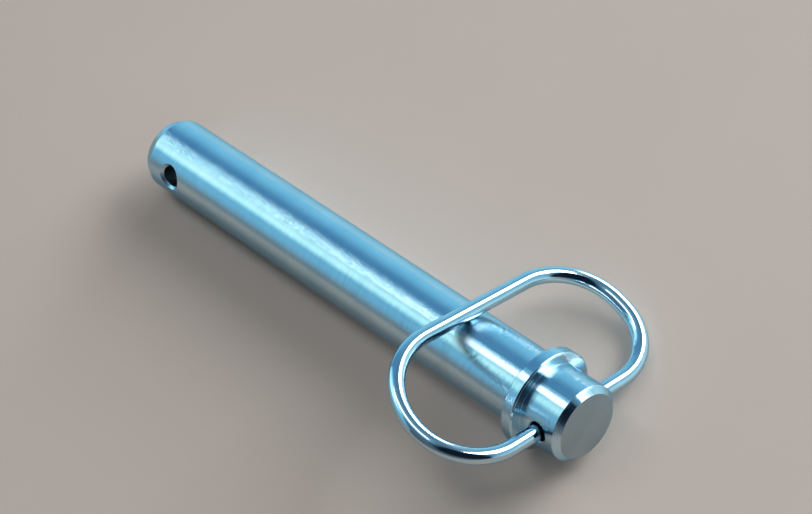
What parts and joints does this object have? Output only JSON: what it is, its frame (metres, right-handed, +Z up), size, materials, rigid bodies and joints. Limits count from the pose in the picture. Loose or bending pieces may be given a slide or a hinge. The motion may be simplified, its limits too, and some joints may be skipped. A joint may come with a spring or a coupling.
{
  "type": "lynch pin",
  "caption": "Round steel lynch pin with a stop collar, a cross-drilled tip for a retaining clip and a bent wire bail that swings in its head.",
  "frame": {"origin": "on the floor under the middle of the object's bounding box, with the pin lying at rest on its collar, the rim of its tip and one side of its bail", "axes": "+X along the pin from head to tip, which slopes down by 1.4 degrees; +Z up; +Y towards the raised side of the bail"},
  "size_m": [0.1524, 0.0648, 0.0348],
  "materials": {
    "turned_zinc": "turned steel under bright blue-white zinc plating, with fine turning marks",
    "wire_zinc": "drawn steel wire under bright zinc plating, smooth and glossy"
  },
  "bodies": {
    "pin": {"pin": "turned_zinc"},
    "bail": {"bail": "wire_zinc"}
  },
  "joints": [
    {"name": "bail_swing", "type": "hinge", "parent": "pin", "child": "bail", "pos_m": [-0.06924, 0.00235, 0.01265], "axis": [-0.0098, -0.9114, -0.4115], "range_deg": [0, 319]}
  ]
}
